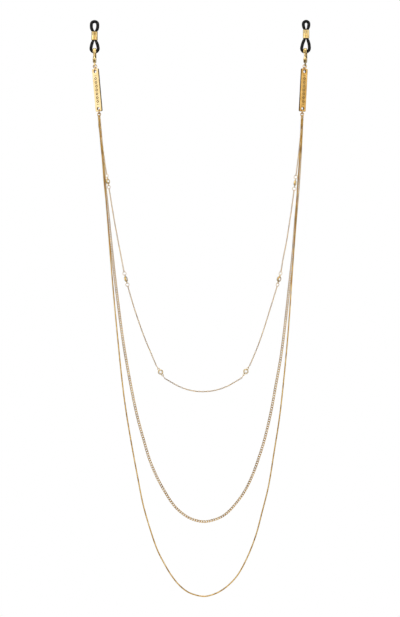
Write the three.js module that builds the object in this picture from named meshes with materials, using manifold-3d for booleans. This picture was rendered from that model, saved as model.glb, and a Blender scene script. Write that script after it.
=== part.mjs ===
// Eyeglasses chain strap: two silicone temple loops with sliding collars, lobster clasps,
// engraved drop bars and three chains of different length that hang between them.
// Units are millimetres, +Z is up and -Y is the front. The origin is the centre of the left
// temple loop's upper hole, which is the place where the strap is held up.
import * as THREE from "three";
import { mergeVertices } from "three/addons/utils/BufferGeometryUtils.js";
import Module from "manifold-3d";

const wasm = await Module();
wasm.setup();

// ---- driving dimensions ----
const SPAN = 135.4; // distance between the centres of the two temple loops

const STRAND_R = 0.85; // silicone strand
const STRAND_X = 0.88; // each strand's distance from the middle, inside the collar
const STRAND_PLAY = 0.08; // clearance between a strand and the collar's bore
const COLLAR_WALL = 0.2;
const COLLAR_LENGTH = 5.3;
const LOOP_BOTTOM = -16.55; // strand centre where the clasp hooks on, and its hinge line

const CLASP_THICK = 2.1;
const SLOT_WIDTH = 1.1; // slot in the clasp for its lever
const LEVER_THICK = 0.86;
const EYE_THICK = 0.9; // the clasp's lower end, thinned around its eye
const EYE_V = -8.1; // eye, rivet and spring places are below the strand that the clasp hooks on
const EYE_R = 0.7;
const RIVET_Y = -1.0;
const RIVET_V = -5.0;
const RIVET_R = 0.35;
const RIVET_HOLE_R = 0.42;
const SPRING_WIDTH = 0.5;

const RING_R = 1.15; // clasp ring and bar ring, centreline
const RING_WIRE = 0.25;
const BAR_HINGE = -26.97; // lowest point of the clasp ring, where the bar ring swings

const BAR_WIDTH = 4.6;
const BAR_THICK = 1.4;
const BAR_TOP = -27.3;
const BAR_BOTTOM = -54.75;
const BAR_HOLE_R = 1.12;
const BAR_HOLE_TOP = -29.0;
const BAR_HOLE_BOTTOM = -53.05;

const LOWER_RING_R = 1.5;
const LOWER_RING_WIRE = 0.3;
const CHAIN_HINGE = -54.78; // centre of the lower rings, about which the chains swing

const END_RING_R = 1.0;
const END_RING_WIRE = 0.18;
const LAYER = 0.75; // front to back spacing of the three end rings

const CURB_WIDE = 0.75; // half width and half depth of the curb chain
const CURB_DEEP = 0.4;
const SNAKE_R = 0.45;
const CABLE_R = 0.48;

const CAP_TOP = -58.85; // end caps of the snake chain
const CAP_LENGTH = 6;
const CAP_R = 0.58;

const BEZEL_R = 1.7;
const BEZEL_BORE = 1.28;
const BEZEL_HALF = 0.65; // half its depth, front to back
const STONE_R = 1.15;
const EYELET_R = 0.62; // eyelets at both ends of a bezel, in its plane
const EYELET_WIRE = 0.17;
const EYELET_AT = 2.3;
const JUMP_R = 1.15; // the chain's last ring on each side of a bezel
const JUMP_WIRE = 0.16;
const JUMP_AT = EYELET_AT + 0.25 + JUMP_R;

// Each side has its own collar height, lobe widths and tilt.
const LEFT = {
  side: "left", x: 0, lowX: 0.05, top: 2.85, topHalf: 2.05, lowHalf: 2.3, collarTop: -3.75,
  claspX: 0.05, claspTurn: 0, ringX: 0.3, barTopX: 0.7, barLowX: 2.85,
  barTurn: -32, chainX: 2.95,
};
const RIGHT = {
  side: "right", x: SPAN, lowX: -0.5, top: 3.0, topHalf: 1.75, lowHalf: 2.45, collarTop: -2.6,
  claspX: SPAN - 0.5, claspTurn: -10, ringX: SPAN - 0.85, barTopX: SPAN - 1.2,
  barLowX: SPAN - 2.45, barTurn: 32, chainX: SPAN - 2.5,
};

// ---- materials ----
const SILICONE = new THREE.MeshStandardMaterial({ color: 0x141414, roughness: 0.5 });
const GOLD = new THREE.MeshStandardMaterial({ color: 0xd9a860, metalness: 1, roughness: 0.2 });
const BAR_GOLD = new THREE.MeshStandardMaterial({ color: 0xe6bd78, metalness: 1, roughness: 0.15 });
const STEEL = new THREE.MeshStandardMaterial({ color: 0xb8bcc2, metalness: 1, roughness: 0.3 });
const CRYSTAL = new THREE.MeshStandardMaterial({ color: 0xf4f8ff, roughness: 0.02 });

const part = new THREE.Group();

function add(name, geometry, material, parent = part) {
  const mesh = new THREE.Mesh(geometry, material);
  mesh.name = name;
  parent.add(mesh);
  return mesh;
}

// ---- shared shapes ----
const rad = THREE.MathUtils.degToRad;

// A closed mesh as a manifold-3d solid, for the shapes that are cut or joined.
function solid(geometry) {
  geometry.deleteAttribute("normal");
  geometry.deleteAttribute("uv");
  const merged = mergeVertices(geometry);
  return new wasm.Manifold(
    new wasm.Mesh({
      numProp: 3,
      vertProperties: merged.getAttribute("position").array,
      triVerts: new Uint32Array(merged.index.array),
    }),
  );
}

function geometryOf(body) {
  const mesh = body.getMesh();
  return new THREE.BufferGeometry()
    .setAttribute("position", new THREE.BufferAttribute(new Float32Array(mesh.vertProperties), 3))
    .setIndex(new THREE.BufferAttribute(new Uint32Array(mesh.triVerts), 1));
}

const extrude = (shape, depth, curveSegments = 8) =>
  new THREE.ExtrudeGeometry(shape, { depth, curveSegments, bevelEnabled: false });

// Turns a shape drawn in (x, y) to lie in the (y, z) plane, with its thickness along x.
const SIDE_ON = new THREE.Matrix4().makeBasis(
  new THREE.Vector3(0, 1, 0), new THREE.Vector3(0, 0, 1), new THREE.Vector3(1, 0, 0),
);

// A plate seen side on, from points in (y, z), centred on x = 0.
function plate(outline, thick) {
  const shape = new THREE.Shape(outline.map(([u, v]) => new THREE.Vector2(u, v)));
  return solid(extrude(shape, thick).translate(0, 0, -thick / 2).applyMatrix4(SIDE_ON));
}

// A round rod along x.
function rod(r, length, y, z, sides = 14) {
  const geometry = new THREE.CylinderGeometry(r, r, length, sides);
  return solid(geometry.rotateZ(Math.PI / 2).translate(0, y, z));
}

function box(wide, deep, high, x, y, z) {
  return solid(new THREE.BoxGeometry(wide, deep, high).translate(x, y, z));
}

// A round wire ring, face on to the front and then turned about Z.
function ring(name, r, wire, at, turnZ = 0, around = 14) {
  const mesh = add(name, new THREE.TorusGeometry(r, wire, 6, around), GOLD);
  mesh.rotation.set(Math.PI / 2, 0, rad(turnZ), "ZYX");
  mesh.position.set(...at);
}

// A chain's envelope: an oval section swept along its route, halfWide across the route in
// the plane of the strap and halfDeep front to back.
function sweep(points, halfWide, halfDeep, steps) {
  const section = new THREE.Shape().absellipse(0, 0, halfDeep, halfWide, 0, 2 * Math.PI);
  const extrudePath = new THREE.CatmullRomCurve3(points, false, "centripetal");
  return new THREE.ExtrudeGeometry(section, { steps, extrudePath, curveSegments: 4 });
}

// ---- silicone loop: upper lobe, two strands through the collar, lower lobe ----
function rubberRoute({ lowX, top, topHalf, lowHalf, collarTop }) {
  const low = collarTop - COLLAR_LENGTH;
  const right = [
    [STRAND_X, low - 0.3],
    [STRAND_X, (collarTop + low) / 2],
    [STRAND_X, collarTop + 0.3],
    [topHalf * 0.8, collarTop + 1.6],
    [topHalf, collarTop + 3.5],
    [topHalf * 0.82, top - 0.75],
  ];
  const lobe = [
    [lowHalf * 0.52, LOOP_BOTTOM + 0.18],
    [lowHalf * 0.97, LOOP_BOTTOM + 1.6],
    [lowHalf * 0.9, LOOP_BOTTOM + (low - LOOP_BOTTOM) * 0.5],
    [lowHalf * 0.62, LOOP_BOTTOM + (low - LOOP_BOTTOM) * 0.78],
  ];
  const rise = [[0, LOOP_BOTTOM], ...lobe, ...right, [0, top]];
  const fall = [...lobe, ...right].reverse().map(([a, b]) => [-a, b]);
  const lean = (b) => lowX * Math.max(0, (b - low + 0.3) / (LOOP_BOTTOM - low + 0.3));
  return [...rise, ...fall].map(([a, b]) => new THREE.Vector3(a + lean(b), 0, b));
}

function rubberLoop(s) {
  const route = new THREE.CatmullRomCurve3(rubberRoute(s), true, "centripetal");
  const tube = new THREE.TubeGeometry(route, 40, STRAND_R, 8, true);
  add(s.side + "_rubber_loop", tube, SILICONE).position.set(s.x, 0, 0);
}

// An oval outline around the two strands.
function stadium(path, r) {
  path.absarc(STRAND_X, 0, r, -Math.PI / 2, Math.PI / 2);
  return path.absarc(-STRAND_X, 0, r, Math.PI / 2, 1.5 * Math.PI);
}

function collar({ side, x, collarTop }) {
  const bore = STRAND_R + STRAND_PLAY;
  const section = stadium(new THREE.Shape(), bore + COLLAR_WALL);
  section.holes.push(stadium(new THREE.Path(), bore));
  const collarMesh = add(side + "_collar", extrude(section, COLLAR_LENGTH, 5), GOLD);
  collarMesh.position.set(x, 0, collarTop - COLLAR_LENGTH);
}

// ---- lobster clasp, drawn side on in (y, z) about the strand that it hooks on ----
const CLASP_OUTLINE = [
  [-1.95, -1.15], [-2.3, -0.2], [-2.05, 1.0], [-1.3, 1.95], [-0.2, 2.35], [1.0, 2.15],
  [2.05, 1.3], [2.65, 0.2], [2.8, -1.2], [2.55, -3.0], [2.05, -4.8], [1.5, -6.3],
  [1.1, -7.3], [1.3, -8.1], [1.1, -8.9], [0.45, -9.4], [-0.45, -9.4], [-1.1, -8.9],
  [-1.3, -8.1], [-1.1, -7.3], [-1.55, -6.6], [-2.1, -5.6], [-2.1, -4.4], [-1.2, -3.6],
];
const MOUTH_OUTLINE = [
  [-3.2, -1.15], [-1.25, -1.15], [-1.3, -0.1], [-1.05, 0.75], [-0.2, 1.22], [0.75, 1.05],
  [1.35, 0.1], [1.5, -1.2], [1.3, -2.6], [0.7, -3.5], [-0.4, -3.75], [-3.2, -3.75],
];
const LEVER_OUTLINE = [
  [-2.3, -1.35], [-1.5, -1.35], [-1.55, -2.6], [-1.2, -3.7], [-0.45, -4.6], [-0.45, -5.5],
  [-1.3, -5.95], [-2.6, -5.6], [-3.0, -4.9], [-2.75, -4.2], [-2.35, -3.6], [-2.35, -2.4],
];
const SLOT_OUTLINE = [
  [-3.4, -3.2], [0.35, -3.2], [0.95, -4.6], [0.75, -6.1], [-1.0, -6.4], [-3.4, -6.6],
];
const SPRING_OUTLINE = [
  [0.05, -4.2], [0.35, -4.5], [0.5, -5.2], [0.3, -5.85], [-0.35, -6.02], [-0.35, -5.85],
  [0.15, -5.68], [0.3, -5.2], [0.18, -4.65], [-0.02, -4.4],
];

function claspBody() {
  const flank = (way) => box(2, 6, 2.9, way * (1 + EYE_THICK / 2), 0, EYE_V - 0.5);
  const body = plate(CLASP_OUTLINE, CLASP_THICK)
    .subtract(plate(MOUTH_OUTLINE, 2 * CLASP_THICK))
    .subtract(plate(SLOT_OUTLINE, SLOT_WIDTH))
    .subtract(rod(EYE_R, 2 * CLASP_THICK, 0, EYE_V))
    .subtract(rod(RIVET_HOLE_R, 2 * CLASP_THICK, RIVET_Y, RIVET_V))
    .subtract(flank(1))
    .subtract(flank(-1));
  return geometryOf(body);
}

function claspLever() {
  const hole = rod(RIVET_HOLE_R, 2 * LEVER_THICK, RIVET_Y, RIVET_V);
  return geometryOf(plate(LEVER_OUTLINE, LEVER_THICK).subtract(hole));
}

// The rivet stands slightly proud of the body on both sides.
function claspRivet() {
  return geometryOf(rod(RIVET_R, CLASP_THICK + 0.3, RIVET_Y, RIVET_V, 12));
}

// The return spring: a bent strip that pushes the lever's tail away from the body.
function claspSpring() {
  return geometryOf(plate(SPRING_OUTLINE, SPRING_WIDTH));
}

function clasp(s) {
  const group = new THREE.Group();
  group.position.set(s.claspX, 0, LOOP_BOTTOM);
  group.rotation.z = rad(s.claspTurn);
  part.add(group);
  add(s.side + "_clasp_body", claspBody(), GOLD, group);
  add(s.side + "_clasp_lever", claspLever(), GOLD, group);
  add(s.side + "_clasp_rivet", claspRivet(), GOLD, group);
  add(s.side + "_clasp_spring", claspSpring(), STEEL, group);
}

// ---- drop bar, tilted inwards and turned about its length ----
function bar(s) {
  const corner = 0.7;
  const middle = (BAR_TOP + BAR_BOTTOM) / 2;
  const [u, v] = [BAR_WIDTH / 2 - corner, (BAR_TOP - BAR_BOTTOM) / 2 - corner];
  const outline = new THREE.Shape();
  outline.absarc(u, v, corner, 0, 0.5 * Math.PI);
  outline.absarc(-u, v, corner, 0.5 * Math.PI, Math.PI);
  outline.absarc(-u, -v, corner, Math.PI, 1.5 * Math.PI);
  outline.absarc(u, -v, corner, 1.5 * Math.PI, 2 * Math.PI);
  for (const z of [BAR_HOLE_TOP, BAR_HOLE_BOTTOM])
    outline.holes.push(new THREE.Path().absarc(0, z - middle, BAR_HOLE_R, 0, 2 * Math.PI));
  const geometry = extrude(outline, BAR_THICK).translate(0, 0, -BAR_THICK / 2);
  const tilt = Math.atan2(s.barLowX - s.barTopX, BAR_HOLE_TOP - BAR_HOLE_BOTTOM);
  const mesh = add(s.side + "_bar", geometry, BAR_GOLD);
  mesh.rotation.set(Math.PI / 2, -tilt, rad(s.barTurn), "YZX");
  mesh.position.set((s.barTopX + s.barLowX) / 2, 0, middle);
}

// ---- chain ends ----
function endCap(s) {
  const profile = [
    [0, -CAP_LENGTH], [CAP_R - 0.1, -CAP_LENGTH], [CAP_R, 0.2 - CAP_LENGTH], [CAP_R, -0.25],
    [0.3, 0], [0, 0],
  ].map(([r, z]) => new THREE.Vector2(r, z));
  const shell = new THREE.LatheGeometry(profile, 10).rotateX(Math.PI / 2);
  const eye = new THREE.TorusGeometry(0.42, 0.14, 6, 12).rotateY(Math.PI / 2).scale(1, 1, 2.2);
  const cap = solid(shell).add(solid(eye.translate(0, EYE_Y - BACK_Y, 1.1)));
  const mesh = add(s.side + "_snake_end_cap", geometryOf(cap), GOLD);
  mesh.position.set(s.chainX, BACK_Y, CAP_TOP);
}

// ---- the chains' routes, in the plane of the strap, at the depth of each layer ----
const FRONT_Y = -0.95;
const STONE_Y = -2.15;
const BACK_Y = 1.1;
const EYE_Y = 0.84; // the end cap's eye, which holds the back end ring

// Curb chain of middle length, from the left end ring to the right one.
const CURB_ROUTE = [
  [2.95, -58.45], [4.3, -73], [5.6, -87], [6.6, -100], [8.4, -117], [10.2, -135], [12, -152],
  [14.5, -173], [18.5, -203], [23.4, -231], [27.4, -250], [31.5, -265], [35.4, -278],
  [40.3, -289.5], [45, -298], [49.4, -304.9], [54, -310.1], [61.5, -315.2], [70, -317.2],
  [77.8, -315.6], [82.4, -313.4], [86, -310.5], [90, -306.1], [95.6, -298.5],
  [101.1, -287.4], [105.9, -274], [108.4, -266], [112.7, -248], [116, -230], [119.2, -212],
  [122, -190.5], [124.3, -169.5], [126.8, -147], [128.6, -125], [130, -109], [131.2, -92],
  [132.2, -74], [132.9, -58.45],
];

// Snake chain, the longest, from one end cap to the other.
const SNAKE_ROUTE = [
  [3.05, -65.1], [4.3, -76], [5.6, -89], [7.3, -111], [8.6, -127.5], [10, -146], [12, -170],
  [14.8, -200], [17.8, -229], [20.2, -247], [23.7, -268], [27.6, -289], [31.2, -307],
  [36.3, -324.5], [40, -335], [43.4, -342], [49.6, -352.4], [55.1, -358.9], [60.9, -363],
  [70, -365.2], [77, -363.6], [83.6, -359.8], [91, -352.4], [97.2, -341.5], [103, -327],
  [107.2, -311.5], [111.3, -295], [115.1, -272], [118.5, -250], [121.1, -227], [123.3, -204],
  [124.9, -184], [126.3, -162], [127.9, -139], [129.1, -119], [130.5, -96], [132.1, -77.5],
  [132.9, -65.1],
];

// Cable chain, the shortest, with a bezel-set stone at each station. turn is the stone's
// turn about the chain: at 0 it faces the front.
const STATIONS = [
  { at: [8.6, -99.6], turn: 55 },
  { at: [20.2, -162.0], turn: 72 },
  { at: [42.3, -221.4], turn: 0 },
  { at: [96.8, -221.0], turn: 0 },
  { at: [118.0, -162.0], turn: -50 },
  { at: [128.2, -100.6], turn: -78 },
];
const CABLE_ROUTES = [
  [[2.95, -58.3], [4.3, -70], [5.9, -82], [7.6, -94]],
  [[9.2, -103], [11.4, -116.5], [14.1, -132], [16.4, -144], [19.2, -158]],
  [[21.6, -167], [23.8, -175], [26.6, -184], [32.1, -199.5], [36.5, -210], [40.4, -218]],
  [[44.8, -224.6], [49.0, -227.8], [54.6, -230.8], [61.5, -233.1], [69.4, -233.9],
    [77.4, -233.0], [84.6, -230.6], [90.2, -227.5], [94.6, -224]],
  [[98.8, -217.4], [101.0, -213.2], [104.0, -206], [107.6, -196], [111.4, -184], [116.2, -168.6]],
  [[119.0, -158], [120.4, -150], [122.6, -139], [124.2, -129], [125.8, -118.5], [127.4, -106.5]],
  [[128.9, -95], [130.3, -84], [131.6, -72], [132.9, -58.3]],
];

const flatRoute = (route, y) => route.map(([x, z]) => new THREE.Vector3(x, y, z));
// The front chain leaves the end ring in its own layer and stands clear by its first stone.
const cableY = (z) => THREE.MathUtils.clamp(
  FRONT_Y + ((STONE_Y - FRONT_Y) * (-58.3 - z)) / 30, STONE_Y, FRONT_Y,
);

// A route whose ends lie on the jump rings of the stones beside it.
function cableRoute(i) {
  const route = CABLE_ROUTES[i].map(([x, z]) => new THREE.Vector3(x, cableY(z), z));
  const meet = (k, way) => {
    const [x, z] = STATIONS[k].at;
    const stone = new THREE.Vector3(x, STONE_Y, z);
    return stone.addScaledVector(stationAxis(k), way * (JUMP_AT + JUMP_R));
  };
  if (i > 0) route[0] = meet(i - 1, 1);
  if (i < STATIONS.length) route[route.length - 1] = meet(i, -1);
  return route;
}

// The chain's direction at a stone, from the last point before it to the first one after it.
function stationAxis(k) {
  const before = CABLE_ROUTES[k].at(-1);
  const after = CABLE_ROUTES[k + 1][0];
  return new THREE.Vector3(after[0] - before[0], 0, after[1] - before[1]).normalize();
}

// ---- stones: drawn with the chain along +Z and the stone's axis along -Y ----
function stationPlace(k) {
  const axis = stationAxis(k);
  const turn = new THREE.Euler(0, Math.atan2(-axis.x, -axis.z), rad(STATIONS[k].turn), "YZX");
  const [x, z] = STATIONS[k].at;
  return new THREE.Matrix4().makeRotationFromEuler(turn).setPosition(x, STONE_Y, z);
}

function bezel(k) {
  const profile = [
    [BEZEL_BORE, -BEZEL_HALF], [BEZEL_R - 0.05, -BEZEL_HALF], [BEZEL_R, 0],
    [BEZEL_R - 0.05, BEZEL_HALF], [BEZEL_BORE, BEZEL_HALF], [BEZEL_BORE, -BEZEL_HALF],
  ].map(([r, z]) => new THREE.Vector2(r, z));
  const band = solid(new THREE.LatheGeometry(profile, 14));
  const eyelet = (way) => {
    const torus = new THREE.TorusGeometry(EYELET_R, EYELET_WIRE, 5, 10);
    return solid(torus.rotateX(Math.PI / 2).translate(0, 0, way * EYELET_AT));
  };
  const both = band.add(eyelet(1)).add(eyelet(-1));
  add(`station_${k + 1}_bezel`, geometryOf(both), GOLD).applyMatrix4(stationPlace(k));
}

function crystal(k) {
  const profile = [
    [0, -0.62], [0.72, -0.55], [STONE_R, -0.12], [STONE_R, 0.12], [0.72, 0.55], [0, 0.62],
  ].map(([r, z]) => new THREE.Vector2(r, z));
  const stone = new THREE.LatheGeometry(profile, 12);
  add(`station_${k + 1}_crystal`, stone, CRYSTAL).applyMatrix4(stationPlace(k));
}

// The ring through a bezel's eyelet, square to it; it is the chain's last link.
function jumpRing(k, way) {
  const torus = new THREE.TorusGeometry(JUMP_R, JUMP_WIRE, 5, 14).rotateY(Math.PI / 2);
  return solid(torus.translate(0, 0, way * JUMP_AT).applyMatrix4(stationPlace(k)));
}

// One stretch of cable chain with the jump rings on its ends, in one piece.
function cableChain(i) {
  const steps = i === 3 ? 20 : 14;
  let stretch = solid(sweep(cableRoute(i), CABLE_R, CABLE_R, steps));
  if (i > 0) stretch = stretch.add(jumpRing(i - 1, -1));
  if (i < STATIONS.length) stretch = stretch.add(jumpRing(i, 1));
  add(`cable_chain_${i + 1}`, geometryOf(stretch), GOLD);
}

// ---- assembly ----
for (const s of [LEFT, RIGHT]) {
  rubberLoop(s);
  collar(s);
  clasp(s);
  ring(s.side + "_clasp_ring", RING_R, RING_WIRE, [s.ringX, 0, BAR_HINGE + RING_R]);
  const barRingZ = BAR_HINGE + 2 * RING_WIRE + 0.05 - RING_R;
  ring(s.side + "_bar_ring", RING_R, RING_WIRE, [s.ringX + (s.barTopX - s.ringX) / 2, 0, barRingZ],
    90 + s.barTurn);
  bar(s);
  ring(s.side + "_lower_ring", LOWER_RING_R, LOWER_RING_WIRE, [s.chainX, 0, CHAIN_HINGE], 90);
  const innerTop = LOWER_RING_R - LOWER_RING_WIRE - END_RING_WIRE - 0.03;
  for (const [chain, layer] of [["cable", -LAYER], ["curb", 0], ["snake", LAYER]]) {
    const top = CHAIN_HINGE - Math.sqrt(innerTop ** 2 - layer ** 2);
    ring(`${s.side}_${chain}_end_ring`, END_RING_R, END_RING_WIRE,
      [s.chainX, layer, top - END_RING_R], 0, 12);
  }
  endCap(s);
}
add("curb_chain", sweep(flatRoute(CURB_ROUTE, 0), CURB_WIDE, CURB_DEEP, 78), GOLD);
add("snake_chain", sweep(flatRoute(SNAKE_ROUTE, BACK_Y), SNAKE_R, SNAKE_R, 80), GOLD);
CABLE_ROUTES.forEach((_, i) => cableChain(i));
STATIONS.forEach((_, k) => {
  bezel(k);
  crystal(k);
});

export default part;
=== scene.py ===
import math
from random import Random

import bmesh
import bpy
from mathutils import Matrix, Vector


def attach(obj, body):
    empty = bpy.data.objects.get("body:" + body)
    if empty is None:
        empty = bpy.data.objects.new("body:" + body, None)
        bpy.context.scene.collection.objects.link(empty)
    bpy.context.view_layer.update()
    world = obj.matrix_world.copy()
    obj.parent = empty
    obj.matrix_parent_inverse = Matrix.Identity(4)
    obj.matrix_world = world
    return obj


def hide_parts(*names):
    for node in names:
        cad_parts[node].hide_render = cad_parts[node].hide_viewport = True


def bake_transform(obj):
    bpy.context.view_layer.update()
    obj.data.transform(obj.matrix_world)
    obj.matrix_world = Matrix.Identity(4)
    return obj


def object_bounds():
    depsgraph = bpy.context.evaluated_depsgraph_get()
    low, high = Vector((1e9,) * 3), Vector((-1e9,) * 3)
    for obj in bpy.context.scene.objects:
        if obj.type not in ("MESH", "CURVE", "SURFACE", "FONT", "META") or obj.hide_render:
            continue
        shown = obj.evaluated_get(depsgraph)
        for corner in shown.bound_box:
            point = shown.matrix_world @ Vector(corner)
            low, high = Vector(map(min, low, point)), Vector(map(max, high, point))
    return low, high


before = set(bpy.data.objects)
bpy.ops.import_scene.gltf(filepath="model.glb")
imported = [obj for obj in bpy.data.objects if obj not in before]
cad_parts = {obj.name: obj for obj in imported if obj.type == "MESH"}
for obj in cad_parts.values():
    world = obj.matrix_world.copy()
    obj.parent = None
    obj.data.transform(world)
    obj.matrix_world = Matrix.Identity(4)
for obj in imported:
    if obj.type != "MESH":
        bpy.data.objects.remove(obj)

# Eyeglasses chain strap. Sizes below are millimetres and become metres in Blender by MM;
# the frame is the CAD model's: +Z up, -Y to the front, origin in the left loop's upper hole.
MM = 0.001
CAD_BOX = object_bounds()
FRONT = Vector((0, 1, 0))

# ---- driving dimensions, as in the CAD model unless a comment says otherwise ----
SPAN = 135.4
STRAND_R = 0.85  # squeezed inside the collar
FREE_STRAND_R = 1.0  # and swelling to this outside it, where the CAD's stays as thin
SWELL_OVER = 1.5  # along the strand, from the collar's end to the full thickness
CLAW_SQUEEZE = 0.1  # not in the CAD: thinner by this where the claw hooks on
SQUEEZE_OVER = 1.6
HELD_IN_CLAW = 1.5  # where the claw's hold on the strand ends, over the loop's bottom
STRAND_X = 0.88
STRAND_PLAY = 0.08
COLLAR_WALL = 0.2
COLLAR_LENGTH = 5.3
LOOP_BOTTOM = -16.55
CLASP_THICK = 2.1
RIVET_Y = -1.0
RIVET_V = -5.0
EYE_V = -8.1
EYE_THICK = 0.9
RING_R = 1.15
RING_WIRE = 0.25
BAR_RING_WIRE = 0.22  # thinner than the CAD's; it still touches the clasp ring at full swing
RING_PLAY = 0.05  # between the clasp ring's wire and the bar ring's
BAR_HINGE = -26.97
BAR_WIDTH = 4.6
BAR_THICK = 1.4
BAR_TOP = -27.3
BAR_BOTTOM = -54.75
BAR_HOLE_R = 1.12
BAR_HOLE_TOP = -29.0
BAR_HOLE_BOTTOM = -53.05
LOWER_RING_R = 1.5
LOWER_RING_WIRE = 0.3
CHAIN_HINGE = -54.78
END_RING_R = 1.0
END_RING_WIRE = 0.18
END_RING_PLAY = 0.03
LAYER = 0.75
FRONT_Y = -0.95
STONE_Y = -2.15
BACK_Y = 1.1
CABLE_TOP = -58.3  # the front chain starts here
STONE_RUN = 30  # and comes forward to the stones over this height
EYE_Y = 0.84
CAP_TOP = -58.85
BEZEL_R = 1.7
BEZEL_HALF = 0.65
EYELET_R = 0.62
EYELET_WIRE = 0.17
EYELET_AT = 2.3
JUMP_R = 1.15
JUMP_WIRE = 0.16
JUMP_AT = EYELET_AT + 0.25 + JUMP_R

LEFT = dict(
    side="left", x=0, low_x=0.05, top=2.85, top_half=2.05, low_half=2.3, collar_top=-3.75,
    clasp_x=0.05, clasp_turn=0, ring_x=0.3, bar_top_x=0.7, bar_low_x=2.85, bar_turn=-32,
    chain_x=2.95, bar_slot="bar_gold_pale",
)
RIGHT = dict(
    side="right", x=SPAN, low_x=-0.5, top=3.0, top_half=1.75, low_half=2.45, collar_top=-2.6,
    clasp_x=SPAN - 0.5, clasp_turn=-10, ring_x=SPAN - 0.85, bar_top_x=SPAN - 1.2,
    bar_low_x=SPAN - 2.45, bar_turn=32, chain_x=SPAN - 2.5, bar_slot="bar_gold_deep",
)

# ---- the chains' routes, (x, z) ----
CURB_ROUTE = [
    (2.95, -58.45), (4.3, -73), (5.6, -87), (6.6, -100), (8.4, -117), (10.2, -135),
    (12, -152), (14.5, -173), (18.5, -203), (23.4, -231), (27.4, -250), (31.5, -265),
    (35.4, -278), (40.3, -289.5), (45, -298), (49.4, -304.9), (54, -310.1), (61.5, -315.2),
    (70, -317.2), (77.8, -315.6), (82.4, -313.4), (86, -310.5), (90, -306.1), (95.6, -298.5),
    (101.1, -287.4), (105.9, -274), (108.4, -266), (112.7, -248), (116, -230), (119.2, -212),
    (122, -190.5), (124.3, -169.5), (126.8, -147), (128.6, -125), (130, -109), (131.2, -92),
    (132.2, -74), (132.9, -58.45),
]
SNAKE_ROUTE = [
    (3.05, -65.1), (4.3, -76), (5.6, -89), (7.3, -111), (8.6, -127.5), (10, -146),
    (12, -170), (14.8, -200), (17.8, -229), (20.2, -247), (23.7, -268), (27.6, -289),
    (31.2, -307), (36.3, -324.5), (40, -335), (43.4, -342), (49.6, -352.4), (55.1, -358.9),
    (60.9, -363), (70, -365.2), (77, -363.6), (83.6, -359.8), (91, -352.4), (97.2, -341.5),
    (103, -327), (107.2, -311.5), (111.3, -295), (115.1, -272), (118.5, -250), (121.1, -227),
    (123.3, -204), (124.9, -184), (126.3, -162), (127.9, -139), (129.1, -119), (130.5, -96),
    (132.1, -77.5), (132.9, -65.1),
]
STATIONS = [
    ((8.6, -99.6), 55), ((20.2, -162.0), 72), ((42.3, -221.4), 0),
    ((96.8, -221.0), 0), ((118.0, -162.0), -50), ((128.2, -100.6), -78),
]
CABLE_ROUTES = [
    [(2.95, -58.3), (4.3, -70), (5.9, -82), (7.6, -94)],
    [(9.2, -103), (11.4, -116.5), (14.1, -132), (16.4, -144), (19.2, -158)],
    [(21.6, -167), (23.8, -175), (26.6, -184), (32.1, -199.5), (36.5, -210), (40.4, -218)],
    [(44.8, -224.6), (49.0, -227.8), (54.6, -230.8), (61.5, -233.1), (69.4, -233.9),
     (77.4, -233.0), (84.6, -230.6), (90.2, -227.5), (94.6, -224)],
    [(98.8, -217.4), (101.0, -213.2), (104.0, -206), (107.6, -196), (111.4, -184),
     (116.2, -168.6)],
    [(119.0, -158), (120.4, -150), (122.6, -139), (124.2, -129), (125.8, -118.5),
     (127.4, -106.5)],
    [(128.9, -95), (130.3, -84), (131.6, -72), (132.9, -58.3)],
]


# ---- lines ----
def catmull(points, closed=False, per=14):
    """A centripetal Catmull-Rom curve through the points, as a dense list."""
    n = len(points)
    dense = []
    for i in range(n if closed else n - 1):
        p1, p2 = points[i], points[(i + 1) % n]
        p0 = points[i - 1] if closed or i else p1 * 2 - p2
        p3 = points[(i + 2) % n] if closed or i + 2 < n else p2 * 2 - p1
        t0 = 0.0
        t1 = t0 + (p1 - p0).length ** 0.5
        t2 = t1 + (p2 - p1).length ** 0.5
        t3 = t2 + (p3 - p2).length ** 0.5
        for k in range(per):
            t = t1 + (t2 - t1) * k / per
            a1 = p0.lerp(p1, (t - t0) / (t1 - t0))
            a2 = p1.lerp(p2, (t - t1) / (t2 - t1))
            a3 = p2.lerp(p3, (t - t2) / (t3 - t2))
            b1 = a1.lerp(a2, (t - t0) / (t2 - t0))
            b2 = a2.lerp(a3, (t - t1) / (t3 - t1))
            dense.append(b1.lerp(b2, (t - t1) / (t2 - t1)))
    if not closed:
        dense.append(points[-1].copy())
    return dense


class Line:
    """A polyline that gives the place and direction at a distance along it."""

    def __init__(self, dense):
        self.points = dense
        self.far = [0.0]
        for a, b in zip(dense, dense[1:]):
            self.far.append(self.far[-1] + (b - a).length)
        self.length = self.far[-1]
        self.seek = 0

    def at(self, s):
        while self.seek and self.far[self.seek] > s:
            self.seek -= 1
        while self.seek < len(self.far) - 2 and self.far[self.seek + 1] < s:
            self.seek += 1
        i = self.seek
        a, b = self.points[i], self.points[i + 1]
        return a + (b - a) * ((s - self.far[i]) / (self.far[i + 1] - self.far[i]))

    def frame(self, s):
        """Place, direction, across (in the plane of the strap) and deep (front to back)."""
        step = min(0.4, self.length / 50)
        low, high = max(0.0, s - step), min(self.length, s + step)
        along = (self.at(high) - self.at(low)).normalized()
        across = along.cross(FRONT).normalized()
        return self.at(s), along, across, across.cross(along).normalized()

    def path(self, count):
        return [tuple(self.at(self.length * i / count) * MM) for i in range(count + 1)]


def flat_line(route, y):
    return Line(catmull([Vector((x, y, z)) for x, z in route]))


def station_axis(k):
    (bx, bz), (ax, az) = CABLE_ROUTES[k][-1], CABLE_ROUTES[k + 1][0]
    return Vector((ax - bx, 0, az - bz)).normalized()


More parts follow.
